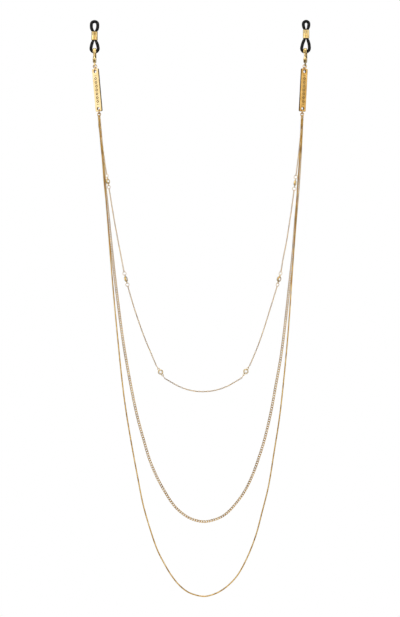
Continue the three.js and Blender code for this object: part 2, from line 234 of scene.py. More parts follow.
def cable_line(i):
    """One stretch of the front chain, which ends at the jump rings of its stones."""
    points = []
    for x, z in CABLE_ROUTES[i]:
        out = FRONT_Y + (STONE_Y - FRONT_Y) * (CABLE_TOP - z) / STONE_RUN
        points.append(Vector((x, min(FRONT_Y, max(STONE_Y, out)), z)))
    for k, end, way in ((i - 1, 0, 1), (i, -1, -1)):
        if 0 <= k < len(STATIONS):
            x, z = STATIONS[k][0]
            stone = Vector((x, STONE_Y, z))
            points[end] = stone + station_axis(k) * (way * (JUMP_AT + JUMP_R))
    return Line(catmull(points))


# ---- meshes ----
def piece(name, verts, faces, material, smooth):
    mesh = bpy.data.meshes.new(name)
    mesh.from_pydata([tuple(Vector(v) * MM) for v in verts], [], faces)
    return finish_piece(name, mesh, material, smooth)


def finish_piece(name, mesh, material, smooth):
    """Gives a mesh its shading and material, and links it. smooth is the angle of an edge
    that stays sharp; 0 keeps every facet flat."""
    if smooth:
        mesh.polygons.foreach_set("use_smooth", [True] * len(mesh.polygons))
        mesh.set_sharp_from_angle(angle=math.radians(smooth))
    mesh.materials.clear()
    mesh.materials.append(material)
    obj = bpy.data.objects.new(name, mesh)
    bpy.context.scene.collection.objects.link(obj)
    return obj


def place(obj, body, slot, *nodes):
    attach(obj, body)
    if nodes:
        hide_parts(*nodes)
    return obj


def grid_faces(rows, sides, closed):
    faces = []
    for i in range(rows if closed else rows - 1):
        a, b = i * sides, (i + 1) % rows * sides
        for k in range(sides):
            n = (k + 1) % sides
            faces.append((a + k, b + k, b + n, a + n))
    if not closed:
        last = (rows - 1) * sides
        faces.append(tuple(range(sides)))
        faces.append(tuple(last + k for k in reversed(range(sides))))
    return faces


def tube(points, radius, sides=10, closed=False, up=FRONT):
    """Verts and faces of a round tube along points; up is never along them."""
    verts = []
    n = len(points)
    for i, p in enumerate(points):
        a = points[i - 1] if closed or i else p
        b = points[(i + 1) % n] if closed or i + 1 < n else p
        along = (b - a).normalized()
        across = along.cross(up).normalized()
        deep = across.cross(along)
        r = radius(i / (n - 1)) if callable(radius) else radius
        for k in range(sides):
            t = 2 * math.pi * k / sides
            verts.append(p + across * (r * math.cos(t)) + deep * (r * math.sin(t)))
    return verts, grid_faces(n, sides, closed)


def join(parts):
    verts, faces = [], []
    for v, f in parts:
        faces += [tuple(i + len(verts) for i in face) for face in f]
        verts += v
    return verts, faces


def turned(verts, matrix):
    return [matrix @ Vector(v) for v in verts]


def lathe(profile, sides):
    """A closed profile of (radius, z) turned about Z; a point on the axis is a pole."""
    verts, rings = [], []
    for r, z in profile:
        count = 1 if r < 1e-6 else sides
        rings.append((len(verts), count))
        for k in range(count):
            t = 2 * math.pi * k / sides
            verts.append(Vector((r * math.cos(t), r * math.sin(t), z)))
    faces = []
    whole = profile[0][0] > 1e-6 and profile[-1][0] > 1e-6
    pairs = list(zip(rings, rings[1:])) + ([(rings[-1], rings[0])] if whole else [])
    for (a, na), (b, nb) in pairs:
        for k in range(sides):
            n = (k + 1) % sides
            if na == 1:
                faces.append((a, b + n, b + k))
            elif nb == 1:
                faces.append((a + k, a + n, b))
            else:
                faces.append((a + k, a + n, b + n, b + k))
    return verts, faces


def applied(obj):
    """A new mesh of an object as its curve settings and modifiers make it."""
    return bpy.data.meshes.new_from_object(obj.evaluated_get(bpy.context.evaluated_depsgraph_get()))


def plate(outlines, thick, bevel, steps):
    """A plate from closed outlines of (u, v), holes after the first, with round edges.
    It lies in the XY plane, centred on z = 0, in millimetres."""
    curve = bpy.data.curves.new("outline", "CURVE")
    curve.dimensions = "2D"
    curve.fill_mode = "BOTH"
    curve.extrude = thick / 2 - bevel
    curve.bevel_depth = bevel
    curve.bevel_resolution = steps
    curve.offset = -bevel
    for outline in outlines:
        spline = curve.splines.new("POLY")
        spline.points.add(len(outline) - 1)
        for point, (u, v) in zip(spline.points, outline):
            point.co = (u, v, 0, 1)
        spline.use_cyclic_u = True
    obj = bpy.data.objects.new("outline", curve)
    bpy.context.scene.collection.objects.link(obj)
    mesh = applied(obj)
    bpy.data.objects.remove(obj)
    bpy.data.curves.remove(curve)
    clean = bmesh.new()
    clean.from_mesh(mesh)
    bmesh.ops.remove_doubles(clean, verts=clean.verts, dist=1e-4)
    bmesh.ops.recalc_face_normals(clean, faces=clean.faces)
    clean.to_mesh(mesh)
    clean.free()
    return mesh


def cut(mesh, cutters):
    """Cuts a mesh by others, (verts, faces) each, and returns the new mesh."""
    scene = bpy.context.scene.collection
    obj = bpy.data.objects.new("cut_body", mesh)
    scene.objects.link(obj)
    verts, faces = join(cutters)
    tool_mesh = bpy.data.meshes.new("cut_tool")
    tool_mesh.from_pydata([tuple(v) for v in verts], [], faces)
    fix = bmesh.new()
    fix.from_mesh(tool_mesh)
    bmesh.ops.recalc_face_normals(fix, faces=fix.faces)
    fix.to_mesh(tool_mesh)
    fix.free()
    tool = bpy.data.objects.new("cut_tool", tool_mesh)
    scene.objects.link(tool)
    change = obj.modifiers.new("cut", "BOOLEAN")
    change.operation = "DIFFERENCE"
    change.solver = "EXACT"
    change.object = tool
    made = applied(obj)
    bpy.data.objects.remove(obj)
    bpy.data.objects.remove(tool)
    return made


def prism(outline, low, high):
    n = len(outline)
    verts = [Vector((u, v, w)) for w in (low, high) for u, v in outline]
    faces = [tuple(range(n)), tuple(reversed(range(n, 2 * n)))]
    faces += [(i, i + n, (i + 1) % n + n, (i + 1) % n) for i in range(n)]
    return verts, faces


def circle(u, v, r, sides):
    step = 2 * math.pi / sides
    return [(u + r * math.cos(k * step), v + r * math.sin(k * step)) for k in range(sides)]


def rounded(points, per=5):
    """A smooth closed outline through a few points."""
    return [(p.x, p.y) for p in catmull([Vector((u, v, 0)) for u, v in points], True, per)]


# ---- materials ----
def material(name):
    made = bpy.data.materials.new(name)
    made.use_nodes = True
    tree = made.node_tree
    shader = tree.nodes["Principled BSDF"]
    coords = tree.nodes.new("ShaderNodeTexCoord")
    return made, tree, shader, coords.outputs["Object"]


def noise(tree, coords, scale, detail=4.0, stretch=None):
    if stretch:
        mapping = tree.nodes.new("ShaderNodeMapping")
        mapping.inputs["Scale"].default_value = stretch
        tree.links.new(coords, mapping.inputs["Vector"])
        coords = mapping.outputs["Vector"]
    made = tree.nodes.new("ShaderNodeTexNoise")
    made.inputs["Scale"].default_value = scale
    made.inputs["Detail"].default_value = detail
    tree.links.new(coords, made.inputs["Vector"])
    return made.outputs["Fac"]


def ramp(tree, value, stops):
    made = tree.nodes.new("ShaderNodeValToRGB")
    band = made.color_ramp
    while len(band.elements) < len(stops):
        band.elements.new(0.5)
    for element, (at, color) in zip(band.elements, stops):
        element.position = at
        element.color = (*color, 1)
    tree.links.new(value, made.inputs["Fac"])
    return made.outputs["Color"]


def spread(tree, value, low, high, start=0.3, end=0.7):
    made = tree.nodes.new("ShaderNodeMapRange")
    made.inputs["From Min"].default_value = start
    made.inputs["From Max"].default_value = end
    made.inputs["To Min"].default_value = low
    made.inputs["To Max"].default_value = high
    tree.links.new(value, made.inputs["Value"])
    return made.outputs["Result"]


def bump(tree, value, shader, strength, distance):
    made = tree.nodes.new("ShaderNodeBump")
    made.inputs["Strength"].default_value = strength
    made.inputs["Distance"].default_value = distance
    tree.links.new(value, made.inputs["Height"])
    tree.links.new(made.outputs["Normal"], shader.inputs["Normal"])


def gold(name, shade, tone, light, rough, scratch, grain=(1, 1, 1)):
    """Polished plate: its colour drifts a little, fine wear varies its gloss, and hairline
    scratches lie along the piece."""
    made, tree, shader, coords = material(name)
    shader.inputs["Metallic"].default_value = 1.0
    drift = noise(tree, coords, 260, 3)
    tree.links.new(ramp(tree, drift, [(0.3, shade), (0.5, tone), (0.72, light)]),
                   shader.inputs["Base Color"])
    wear = noise(tree, coords, 2400, 5, grain)
    tree.links.new(spread(tree, wear, *rough), shader.inputs["Roughness"])
    hair = noise(tree, coords, 5200, 2, grain)
    bump(tree, hair, shader, scratch, 0.00004)
    return made


def silicone():
    made, tree, shader, coords = material("black_silicone")
    shader.inputs["Specular IOR Level"].default_value = 0.2
    cloud = noise(tree, coords, 420, 4)
    blacks = [(0.3, (0.0015, 0.0014, 0.0014)), (0.75, (0.004, 0.0038, 0.0038))]
    tree.links.new(ramp(tree, cloud, blacks), shader.inputs["Base Color"])
    skin = noise(tree, coords, 2600, 5)
    tree.links.new(spread(tree, skin, 0.26, 0.4), shader.inputs["Roughness"])
    bump(tree, skin, shader, 0.12, 0.00004)
    return made


def crystal_clear():
    made, tree, shader, coords = material("clear_crystal")
    shader.inputs["Transmission Weight"].default_value = 1.0
    shader.inputs["IOR"].default_value = 1.6
    tint = noise(tree, coords, 900, 2)
    tree.links.new(ramp(tree, tint, [(0.3, (0.93, 0.96, 1.0)), (0.7, (1.0, 0.985, 0.97))]),
                   shader.inputs["Base Color"])
    polish = noise(tree, coords, 3000, 3)
    tree.links.new(spread(tree, polish, 0.0, 0.03), shader.inputs["Roughness"])
    return made


def steel():
    made, tree, shader, coords = material("spring_steel")
    shader.inputs["Metallic"].default_value = 1.0
    cloud = noise(tree, coords, 1500, 4)
    tree.links.new(ramp(tree, cloud, [(0.3, (0.42, 0.42, 0.44)), (0.7, (0.62, 0.63, 0.66))]),
                   shader.inputs["Base Color"])
    tree.links.new(spread(tree, cloud, 0.22, 0.38), shader.inputs["Roughness"])
    bump(tree, cloud, shader, 0.1, 0.00003)
    return made


CHAIN_GOLD = gold("chain_gold", (0.42, 0.23, 0.045), (0.74, 0.46, 0.12), (0.93, 0.68, 0.28),
                  (0.08, 0.2), 0.06)
# Painted shade: a dark, rougher gold put on the insides of the chain links, where shade falls
# between them.
PAINTED_SHADE_GOLD = gold("painted_shade_gold", (0.16, 0.08, 0.015), (0.26, 0.14, 0.03), (0.38, 0.22, 0.06),
                 (0.3, 0.5), 0.15)
CAST_GOLD = gold("cast_gold", (0.62, 0.42, 0.14), (0.84, 0.62, 0.27), (0.95, 0.78, 0.45),
                 (0.06, 0.14), 0.05, (1, 1, 0.4))
PALE_BAR = gold("pale_bar_gold", (0.82, 0.60, 0.28), (0.92, 0.70, 0.36), (0.96, 0.78, 0.46),
                (0.08, 0.18), 0.07, (1, 1, 0.12))
DEEP_BAR = gold("deep_bar_gold", (0.50, 0.28, 0.07), (0.66, 0.39, 0.11), (0.78, 0.50, 0.18),
                (0.12, 0.24), 0.12, (1, 1, 0.12))
RECESS_GOLD = gold("recess_gold", (0.05, 0.03, 0.012), (0.10, 0.06, 0.025), (0.18, 0.11, 0.05),
                   (0.35, 0.55), 0.2)
SILICONE = silicone()
CRYSTAL = crystal_clear()
STEEL = steel()


# ---- camera ----
VIEW_HEIGHT = 394.9 * MM
VIEW_CENTRE = Vector((67.5, 0, -180.8)) * MM


def camera():
    data = bpy.data.cameras.new("camera")
    data.sensor_fit = "VERTICAL"
    data.sensor_height = 36
    data.lens = 100
    away = VIEW_HEIGHT * data.lens / data.sensor_height
    obj = bpy.data.objects.new("camera", data)
    obj.location = VIEW_CENTRE - FRONT * away
    obj.rotation_euler = (math.pi / 2, 0, 0)
    bpy.context.scene.collection.objects.link(obj)
    bpy.context.scene.camera = obj


# ---- chains ----
CABLE_WIDTH = 0.98
CABLE_PITCH = 1.44
END_RING_BACK = 0.89  # from the route's first point back along it to the end ring's wire
CURB_WIDTH = 1.76
CURB_PITCH = 1.55
CURB_LEAD = 0.1
SNAKE_WIDTH = 0.92


def oval_loop(half_long, half_wide, wave, count):
    """A link's centreline in (along, across, deep); wave lifts it to a curb link's twist."""
    loop = []
    for i in range(count):
        t = 2 * math.pi * i / count
        c, s = math.cos(t), math.sin(t)
        straight = abs(c) ** 0.8 * math.copysign(1, c)
        loop.append(Vector((half_long * straight, half_wide * s, wave * math.sin(2 * t))))
    return loop


def link_chain(line, pitch, loop, wire, turn_of, sides, leads):
    """Repeats a link along a line, from one lead past its start to the other before its end.
    turn_of gives each link's turn about the line, from its number and how far along it is."""
    first, last = leads
    run = line.length - first - last
    steps = max(1, round(run / pitch))
    parts = []
    bare = tube(loop, wire, sides, True, up=Vector((0.13, 0.21, 1)))
    for i in range(steps + 1):
        at, along, across, deep = line.frame(first + run * i / steps)
        t = turn_of(i, i / steps)
        side = across * math.cos(t) + deep * math.sin(t)
        high = along.cross(side)
        basis = Matrix((along, side, high)).transposed()
        parts.append(([at + basis @ v for v in bare[0]], bare[1]))
    return join(parts)


def paint_shade_inside(obj, sides):
    """Paints shade on the inner quarter of each link's wire: a dark, rougher gold that stands in
    for the shade in the gaps between links.
    """
    obj.data.materials.append(PAINTED_SHADE_GOLD)
    inner = (sides // 2 - 1, sides // 2)
    for polygon in obj.data.polygons:
        if polygon.index % sides in inner:
            polygon.material_index = 1


def declare_chain(line):
    path = line.path(max(40, int(line.length / 1.5)))


def cable_chain(i):
    line = cable_line(i)
    wire, half_long, sides = 0.14, 0.86, 6
    loop = oval_loop(half_long, CABLE_WIDTH / 2 - wire, 0, 14)
    chance = Random(40 + i)
    turn = lambda k, share: (k % 2) * math.pi / 2 + math.radians(35) + chance.uniform(-0.16, 0.16)
    through = half_long - wire - JUMP_WIRE  # the end link's centre, when it hangs in its ring
    at_end_ring = through - END_RING_BACK
    leads = (at_end_ring if i == 0 else through,
             at_end_ring if i == len(CABLE_ROUTES) - 1 else through)
    made = link_chain(line, CABLE_PITCH, loop, wire, turn, sides, leads)
    obj = place(piece(f"cable_links_{i + 1}", *made, CHAIN_GOLD, 80), "short_chain", "gold",
                f"cable_chain_{i + 1}")
    # painted shade on the insides of the links
    paint_shade_inside(obj, sides)
    declare_chain(line)


def curb_chain():
    """Twisted flat links, face on at the sides and turned half away round the bottom."""
    line = flat_line(CURB_ROUTE, 0)
    wire, half_long, twist, sides = 0.21, 1.08, 0.34, 8
    loop = oval_loop(half_long, CURB_WIDTH / 2 - wire, twist, 20)
    chance = Random(7)
    turn = lambda k, share: (chance.uniform(-0.07, 0.07) + 0.12 * math.sin(k / 19)
                             + 0.85 * math.exp(-((share - 0.53) / 0.1) ** 2))
    made = link_chain(line, CURB_PITCH, loop, wire, turn, sides, (CURB_LEAD, CURB_LEAD))
    obj = place(piece("curb_links", *made, CHAIN_GOLD, 80), "middle_chain", "gold", "curb_chain")
    # painted shade on the insides of the links
    paint_shade_inside(obj, sides)
    declare_chain(line)


def snake_chain():
    """Close-set bent plates, seen as fine chevron ridges around a round cord."""
    line = flat_line(SNAKE_ROUTE, BACK_Y)
    pitch, rows_per, sides, ridge_depth = 0.62, 4, 12, 0.07
    rows = int(line.length / pitch) * rows_per
    verts = []
    for i in range(rows + 1):
        s = line.length * i / rows
        at, along, across, deep = line.frame(s)
        for k in range(sides):
            t = 2 * math.pi * k / sides
            slant = 0.9 * abs((k % (sides // 2)) - sides / 4) / (sides / 4)
            ridge = 0.5 + 0.5 * math.cos(2 * math.pi * (i / rows_per + slant))
            r = SNAKE_WIDTH / 2 - ridge_depth * (1 - ridge)
            verts.append(at + across * (r * math.cos(t)) + deep * (r * math.sin(t)))
    made = verts, grid_faces(rows + 1, sides, False)
    obj = place(piece("snake_cord", *made, CHAIN_GOLD, 80), "long_chain", "gold", "snake_chain")
    declare_chain(line)


# ---- rings ----
def split_ring(name, r, wire, at, turn_z, gap_at, body, nodes):
    """A jump ring of round wire with a hairline split at gap_at degrees from its top."""
    count = 44
    gap = math.radians(3.5)
    points = []
    for i in range(count + 1):
        t = math.radians(gap_at) + gap / 2 + (2 * math.pi - gap) * i / count
        points.append(Vector((r * math.sin(t), 0, r * math.cos(t))))
    soft = lambda f: wire * min(1.0, 0.86 + 12 * min(f, 1 - f))
    verts, faces = tube(points, soft, 10)
    where = Matrix.Translation(at) @ Matrix.Rotation(math.radians(turn_z), 4, "Z")
    obj = piece(name, turned(verts, where), faces, CHAIN_GOLD, 50)
    return place(obj, body, "gold", *nodes)


# ---- silicone loops ----
def loop_line(s):
    top, low = s["collar_top"], s["collar_top"] - COLLAR_LENGTH
    right = [
        (STRAND_X, low - 0.3), (STRAND_X, (top + low) / 2), (STRAND_X, top + 0.3),
        (s["top_half"] * 0.8, top + 1.6), (s["top_half"], top + 3.5),
        (s["top_half"] * 0.82, s["top"] - 0.75),
    ]
    rise = low - LOOP_BOTTOM
    lobe = [
        (s["low_half"] * 0.52, LOOP_BOTTOM + 0.18), (s["low_half"] * 0.97, LOOP_BOTTOM + 1.6),
        (s["low_half"] * 0.9, LOOP_BOTTOM + rise * 0.5),
        (s["low_half"] * 0.62, LOOP_BOTTOM + rise * 0.78),
    ]
    side = lobe + right
    ring = [(0, LOOP_BOTTOM), *side, (0, s["top"]), *[(-a, b) for a, b in reversed(side)]]
    lean = lambda b: s["low_x"] * max(0, (b - low + 0.3) / (LOOP_BOTTOM - low + 0.3))
    return catmull([Vector((s["x"] + a + lean(b), 0, b)) for a, b in ring], True, 9)


def silicone_loop(s):
    """The loop in two halves that meet inside the collar."""
    dense = loop_line(s)
    middle = s["collar_top"] - COLLAR_LENGTH / 2
    n = len(dense)
    first = next(i for i in range(n) if dense[i].z > middle)
    last = max(i for i in range(n) if dense[i].z > middle)
    upper = dense[first - 1:last + 2]
    lower = dense[last + 1:] + dense[:first]
    for name, run, held, grip in (
        ("upper", upper, s["top"], s["collar_top"]),
        ("lower", lower, LOOP_BOTTOM + HELD_IN_CLAW, s["collar_top"] - COLLAR_LENGTH),
    ):
        reach = sum((b - a).length for a, b in zip(run, run[1:]))
        thin = CLAW_SQUEEZE if name == "lower" else 0

        def radius(share):
            free = max(0, reach * min(share, 1 - share) - COLLAR_LENGTH / 2)
            swollen = STRAND_R + (FREE_STRAND_R - STRAND_R) * min(1, free / SWELL_OVER)
            return swollen - thin * math.exp(-(reach * (share - 0.5) / SQUEEZE_OVER) ** 2)

        verts, faces = tube(run, radius, 20)
        obj = piece(f"{s['side']}_silicone_{name}", verts, faces, SILICONE, 60)
        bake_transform(obj)
        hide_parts(s["side"] + "_rubber_loop")


def stadium(r, pinch, per_end=12, across=14):
    """An oval round both strands, folded in between them at the front and the back."""
    points = []
    for way in (1, -1):
        for i in range(per_end):
            t = -math.pi / 2 + math.pi * i / (per_end - 1)
            points.append((way * (STRAND_X + r * math.cos(t)), way * r * math.sin(t)))
        for i in range(1, across):
            x = STRAND_X * (1 - 2 * i / across)
            dip = pinch * math.exp(-(x / 0.25) ** 2)
            points.append((way * x, way * (r - dip)))
    return points


def collar(s):
    """A drawn tube, pinched between the strands, with a bead round each end."""
    bead, lip, pinch = 0.04, 0.09, 0.36
    bore = STRAND_R + STRAND_PLAY
    outer = bore + COLLAR_WALL
    half = COLLAR_LENGTH / 2

    def rim(end):
        """The round rim at the low end (-1), going out from the bore, or the high end (1)."""
        return [(bore + COLLAR_WALL / 2 * (1 + end * math.cos(t)),
                 end * (half - lip + lip * math.sin(t)))
                for t in [math.pi * i / 6 for i in range(7)]]

    low_bead = [(outer + bead, -half + 0.2), (outer + bead, -half + 0.4), (outer, -half + 0.52)]
    high_bead = [(r, -z) for r, z in reversed(low_bead)]
    profile = rim(-1) + low_bead + [(outer, 0)] + high_bead + rim(1)
    verts = []
    for r, z in profile:
        height = s["collar_top"] - half + z
        verts += [Vector((s["x"] + u, v, height)) for u, v in stadium(r, pinch)]
    sides = len(verts) // len(profile)
    obj = piece(s["side"] + "_collar_tube", verts, grid_faces(len(profile), sides, True),
                CAST_GOLD, 50)
    place(obj, s["side"] + "_collar", "gold", s["side"] + "_collar")


# ---- lobster clasp, side on: u is y, v is z from the strand it hooks on ----
CLASP_OUTLINE = [
    (-1.6, -1.18), (-2.0, -1.12), (-2.28, -0.3), (-2.05, 1.0), (-1.3, 1.95), (-0.2, 2.35),
    (1.0, 2.15), (2.05, 1.3), (2.65, 0.2), (2.8, -1.2), (2.55, -3.0), (2.05, -4.8),
    (1.5, -6.3), (1.12, -7.3), (1.3, -8.1), (1.1, -8.9), (0.45, -9.35), (-0.45, -9.35),
    (-1.1, -8.9), (-1.3, -8.1), (-1.12, -7.3), (-1.55, -6.6), (-2.1, -5.6), (-2.1, -4.5),
    (-1.45, -3.85), (-0.4, -3.75), (0.7, -3.5), (1.3, -2.6), (1.5, -1.2), (1.35, 0.1),
    (0.75, 1.05), (-0.2, 1.22), (-1.05, 0.75), (-1.3, -0.1), (-1.28, -0.9),
]
SLOT_OUTLINE = [
    (-3.4, -3.2), (0.35, -3.2), (0.95, -4.6), (0.75, -6.1), (-1.0, -6.4), (-3.4, -6.6),
]
LEVER_OUTLINE = [
    (-2.25, -1.38), (-1.55, -1.38), (-1.55, -2.6), (-1.2, -3.7), (-0.5, -4.6), (-0.5, -5.4),
    (-1.3, -5.9), (-2.55, -5.6), (-2.95, -4.95), (-2.7, -4.25), (-2.33, -3.6), (-2.33, -2.4),
]


def stand_up(mesh):
    """Turns a plate drawn in (u, v) to (y, z), with its thickness along x."""
    mesh.transform(Matrix(((0, 0, 1, 0), (1, 0, 0, 0), (0, 1, 0, 0), (0, 0, 0, 1))))
    return mesh


def clasp_place(s):
    return (Matrix.Scale(MM, 4) @ Matrix.Translation((s["clasp_x"], 0, LOOP_BOTTOM))
            @ Matrix.Rotation(math.radians(s["clasp_turn"]), 4, "Z"))


def clasp_body(s):
    """A cast claw, rounded all over, with a slot for its lever and a thinner eye."""
    mesh = plate([rounded(CLASP_OUTLINE), circle(0, EYE_V, 0.7, 24)], CLASP_THICK, 0.34, 4)
    step = [(-2.0, -10.2), (2.0, -10.2), (2.0, -7.6), (1.4, -6.9), (-1.4, -6.9), (-2.0, -7.6)]
    flank = lambda low, high: prism(step, low, high)
    mesh = cut(mesh, [prism(SLOT_OUTLINE, -0.52, 0.52),
                      flank(EYE_THICK / 2, 1.6), flank(-1.6, -EYE_THICK / 2)])
    stand_up(mesh)
    mesh.transform(clasp_place(s))
    obj = finish_piece(s["side"] + "_claw", mesh, CAST_GOLD, 42)
    place(obj, s["side"] + "_clasp", "gold", s["side"] + "_clasp_body")


def clasp_lever(s):
    mesh = plate([rounded(LEVER_OUTLINE, 4), circle(RIVET_Y, RIVET_V, 0.4, 16)], 0.86, 0.16, 2)
    stand_up(mesh)
    mesh.transform(clasp_place(s))
    obj = finish_piece(s["side"] + "_lever", mesh, CAST_GOLD, 42)
    place(obj, s["side"] + "_lever", "gold", s["side"] + "_clasp_lever")


def clasp_rivet(s):
    """A pin with a low dome at each end."""
    half = CLASP_THICK / 2 + 0.1
    profile = [(0, -half - 0.08), (0.22, -half - 0.05), (0.35, -half + 0.03), (0.35, half - 0.03),
               (0.22, half + 0.05), (0, half + 0.08)]
    verts, faces = lathe(profile, 18)
    lie = Matrix.Translation((0, RIVET_Y, RIVET_V)) @ Matrix.Rotation(math.pi / 2, 4, "Y")
    obj = piece(s["side"] + "_rivet", turned(verts, lie), faces, CAST_GOLD, 40)
    obj.data.transform(clasp_place(s) @ Matrix.Scale(1 / MM, 4))
    place(obj, s["side"] + "_clasp", "gold", s["side"] + "_clasp_rivet")


def clasp_spring(s):
    """Fine wire coiled beside the rivet, with a leg that presses the lever's tail."""
    points = []
    for i in range(49):
        t = 2 * math.pi * 2.5 * i / 48
        points.append(Vector((-0.2 + 0.4 * i / 48, 0.18 + 0.3 * math.cos(t),
                              RIVET_V - 0.35 + 0.3 * math.sin(t))))
    points += [Vector((0.2, 0.1, -4.5)), Vector((0.1, 0.3, -4.1))]
    verts, faces = tube(points, 0.07, 7, up=Vector((1, 0.1, 0.1)))
    obj = piece(s["side"] + "_spring", verts, faces, STEEL, 60)
    obj.data.transform(clasp_place(s) @ Matrix.Scale(1 / MM, 4))
    place(obj, s["side"] + "_clasp", "spring_steel", s["side"] + "_clasp_spring")


# ---- drop bars ----
ENGRAVED_DEPTH = 0.26
ENGRAVED_HALF_WIDE = 1.3  # the engraving lies within these
ENGRAVED_HALF_LONG = 9.5


def lozenge(v, half_wide, half_tall):
    return [(half_wide, v), (0, v + half_tall), (-half_wide, v), (0, v - half_tall)]


def frame_cut(outer, inner, low, high):
    """A groove between two outlines with as many points, as a closed ring."""
    n = len(outer)
    verts = [Vector((u, v, w)) for w in (low, high) for o in (outer, inner) for u, v in o]
    faces = []
    for i in range(n):
        j = (i + 1) % n
        faces += [(i, j, n + j, n + i), (2 * n + i, 3 * n + i, 3 * n + j, 2 * n + j),
                  (i, 2 * n + i, 2 * n + j, j), (n + i, n + j, 3 * n + j, 3 * n + i)]
    return verts, faces


def engraving(face):
    """A plain row of lozenges and dots, engraved down the middle of the bar's face."""
    low, high = face - ENGRAVED_DEPTH, face + 0.3
    half_wide, half_tall, line = 1.15, 1.05, 0.38
    cuts = []
    for i in range(-3, 4):
        v = i * 2.45
        outer = lozenge(v, half_wide, half_tall)
        inner = lozenge(v, half_wide - 1.4 * line, half_tall - 1.5 * line)
        cuts.append(frame_cut(outer, inner, low, high))
        if i < 3:
            cuts += [prism(circle(way * 0.9, v + 1.22, 0.2, 12), low, high) for way in (-1, 1)]
    for end in (-1, 1):
        a, b = sorted((end * 9.0, end * 9.3))
        cuts.append(prism([(-0.9, a), (0.9, a), (0.9, b), (-0.9, b)], low, high))
    return cuts


def recess_faces(mesh):
    """The faces inside the engraving, of a bar that still lies flat."""
    face = BAR_THICK / 2
    return [p.index for p in mesh.polygons
            if face - ENGRAVED_DEPTH - 0.02 < p.center.z < face - 0.02
            and abs(p.center.x) < ENGRAVED_HALF_WIDE and abs(p.center.y) < ENGRAVED_HALF_LONG]


def bar(s):
    """A flat bar with round edges and two holes, engraved on its front."""
    middle = (BAR_TOP + BAR_BOTTOM) / 2
    half = (BAR_TOP - BAR_BOTTOM) / 2
    corner, wide = 0.7, BAR_WIDTH / 2
    outline = []
    for cx, cv, start in ((1, 1, 0), (-1, 1, 90), (-1, -1, 180), (1, -1, 270)):
        for i in range(7):
            t = math.radians(start + 15 * i)
            outline.append((cx * (wide - corner) + corner * math.cos(t),
                            cv * (half - corner) + corner * math.sin(t)))
    holes = [circle(0, z - middle, BAR_HOLE_R, 32) for z in (BAR_HOLE_TOP, BAR_HOLE_BOTTOM)]
    mesh = plate([outline, *holes], BAR_THICK, 0.16, 4)
    mesh = cut(mesh, engraving(BAR_THICK / 2))
    recessed = recess_faces(mesh)
    stand_up(mesh)
    lean = math.atan2(s["bar_low_x"] - s["bar_top_x"], BAR_HOLE_TOP - BAR_HOLE_BOTTOM)
    mesh.transform(
        Matrix.Scale(MM, 4)
        @ Matrix.Translation(((s["bar_top_x"] + s["bar_low_x"]) / 2, 0, middle))
        @ Matrix.Rotation(-lean, 4, "Y") @ Matrix.Rotation(math.radians(s["bar_turn"] - 90), 4, "Z")
    )
    look = PALE_BAR if s["side"] == "left" else DEEP_BAR
    obj = finish_piece(s["side"] + "_drop_bar", mesh, look, 38)
    mesh.materials.append(RECESS_GOLD)
    for index in recessed:
        mesh.polygons[index].material_index = 1
    place(obj, s["side"] + "_bar", s["bar_slot"], s["side"] + "_bar")


# ---- the snake chain's end caps ----
def end_cap(s):
    profile = [
        (0, 0), (0.3, 0), (0.5, -0.08), (0.58, -0.22), (0.58, -0.5), (0.54, -0.56), (0.54, -0.66),
        (0.58, -0.72), (0.58, -5.3), (0.54, -5.36), (0.54, -5.46), (0.58, -5.52), (0.58, -5.85),
        (0.52, -5.98), (0, -6.0),
    ]
    shell = lathe(profile[::-1], 24)
    eye = []
    for i in range(28):
        t = 2 * math.pi * i / 28
        eye.append(Vector((0, EYE_Y - BACK_Y + 0.42 * math.cos(t), 1.1 + 0.96 * math.sin(t))))
    verts, faces = join([shell, tube(eye, 0.14, 8, True, up=Vector((1, 0, 0)))])
    at = Matrix.Translation((s["chain_x"], BACK_Y, CAP_TOP))
    obj = piece(s["side"] + "_end_cap", turned(verts, at), faces, CAST_GOLD, 40)
    return place(obj, "long_chain", "gold", s["side"] + "_snake_end_cap")


# ---- stones ----
def station_place(k):
    (x, z), turn = STATIONS[k]
    axis = station_axis(k)
    return (Matrix.Translation((x, STONE_Y, z))
            @ Matrix.Rotation(math.atan2(-axis.x, -axis.z), 4, "Y")
            @ Matrix.Rotation(math.radians(turn), 4, "Z"))


FACE_FRONT = Matrix.Rotation(math.pi / 2, 4, "X")  # a lathe's axis turned to the front


def bezel(k):
    """A round collet, open at both faces, with lips turned in over the stone, and an eyelet
    in its own plane at both ends."""
    h, r = BEZEL_HALF, BEZEL_R
    profile = [
        (1.24, -h + 0.04), (1.3, -h), (1.44, -h), (1.56, -h + 0.08), (r - 0.03, -h + 0.22),
        (r - 0.03, -0.12), (r, -0.05), (r, 0.05), (r - 0.03, 0.12), (r - 0.03, h - 0.22),
        (1.56, h - 0.08), (1.44, h), (1.3, h), (1.24, h - 0.04), (1.36, h - 0.2), (1.36, -h + 0.2),
    ]
    verts, faces = lathe(profile, 40)
    parts = [(turned(verts, FACE_FRONT), faces)]
    for way in (1, -1):
        loop = [Vector((EYELET_R * math.cos(t), 0, way * EYELET_AT + EYELET_R * math.sin(t)))
                for t in [2 * math.pi * i / 28 for i in range(28)]]
        parts.append(tube(loop, EYELET_WIRE, 8, True))
    verts, faces = join(parts)
    obj = piece(f"stone_{k + 1}_bezel", turned(verts, station_place(k)), faces, CAST_GOLD, 40)
    return place(obj, f"station_{k + 1}", "gold", f"station_{k + 1}_bezel")


